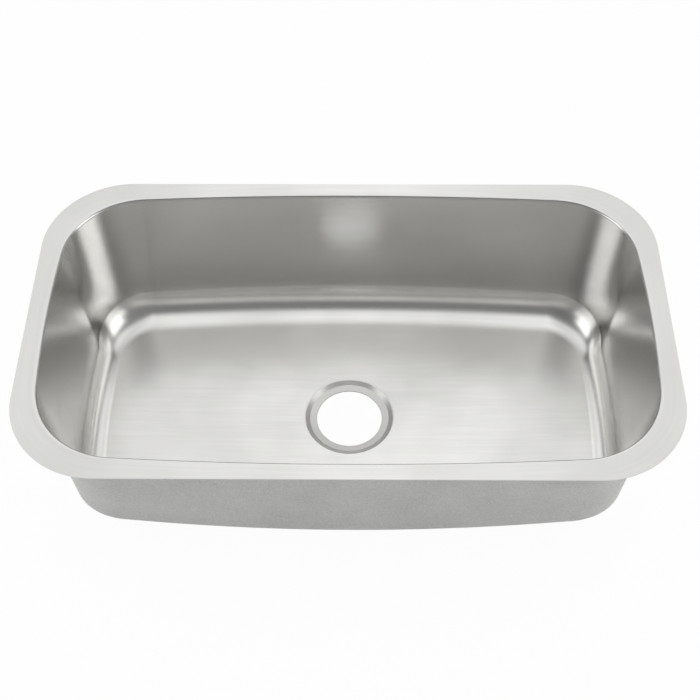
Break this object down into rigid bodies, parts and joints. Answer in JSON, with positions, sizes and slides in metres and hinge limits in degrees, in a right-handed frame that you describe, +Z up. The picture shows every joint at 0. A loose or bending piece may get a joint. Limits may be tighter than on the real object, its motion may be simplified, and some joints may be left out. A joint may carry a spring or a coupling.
{
  "type": "undermount kitchen sink",
  "caption": "Undermount single-bowl kitchen sink of drawn brushed steel, with a flat flange, rounded corners, a centred recessed drain and a sound-deadening coat.",
  "frame": {"origin": "middle of the drain, at the underside of the drain's rim, which is the lowest point of the sink", "axes": "+X along the sink, +Y from the front to the back, +Z up"},
  "size_m": [0.8, 0.4572, 0.2286],
  "materials": {
    "brushed_steel_sheet": "brushed satin",
    "sprayed_coat": "fine sprayed texture, matt",
    "damper_rubber": "matt moulded rubber"
  },
  "bodies": {
    "root": {"sink_bowl": "brushed_steel_sheet", "undercoat": "sprayed_coat", "left_sound_damper": "damper_rubber", "right_sound_damper": "damper_rubber"}
  },
  "joints": []
}
